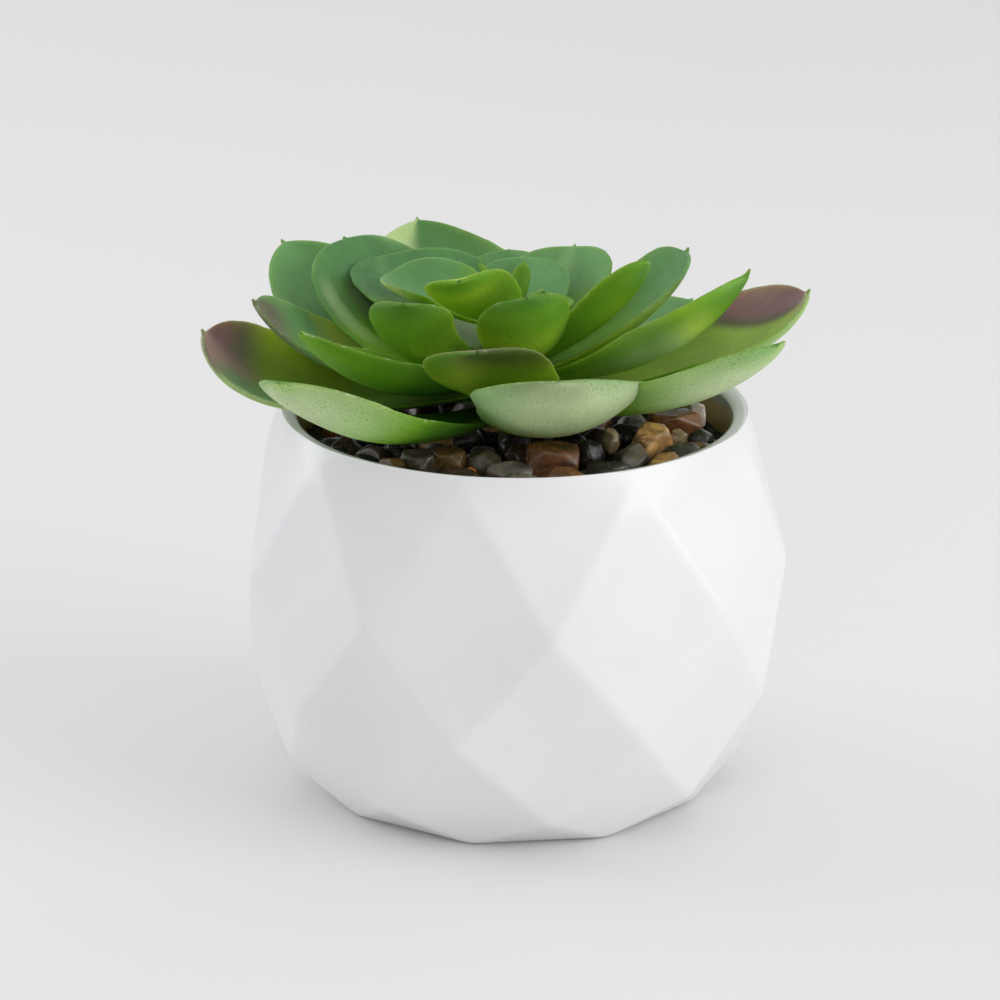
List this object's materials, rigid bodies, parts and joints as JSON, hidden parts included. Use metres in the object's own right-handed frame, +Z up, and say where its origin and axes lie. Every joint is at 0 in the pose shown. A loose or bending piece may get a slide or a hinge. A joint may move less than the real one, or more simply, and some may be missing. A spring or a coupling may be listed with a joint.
{
  "type": "potted aeonium",
  "caption": "Small artificial aeonium: an open rosette of cupped, pointed leaves on a short stem, set in glossy pebbles in a white faceted pot with a round mouth.",
  "frame": {"origin": "middle of the pot's flat underside", "axes": "+Z up along the stem and the pot's axis, -Y towards the side that the picture shows, +X to the right of that view"},
  "size_m": [0.091, 0.0846, 0.0844],
  "materials": {
    "glaze": "white gloss glaze, softly rounded facet edges",
    "filler": "dark rough filler under the pebbles",
    "pebbles": "polished, wet-looking mixed black, grey, brown and tan",
    "lower_leaf": "satin, pale speckled undersides with fine light rims",
    "tipped_leaf": "satin, maroon towards the tips over green",
    "middle_leaf": "satin, mid green",
    "upper_leaf": "satin, bright green with fine dark speckle",
    "heart_leaf": "satin, yellow green",
    "stem": "satin, olive"
  },
  "bodies": {
    "root": {"pot": "glaze", "soil_fill": "filler", "pebble_layer": "pebbles", "leaf_whorl_1": "lower_leaf", "leaf_whorl_2": "tipped_leaf", "leaf_whorl_3": "middle_leaf", "leaf_whorl_4": "upper_leaf", "heart_leaves": "heart_leaf", "stem": "stem"}
  },
  "joints": []
}
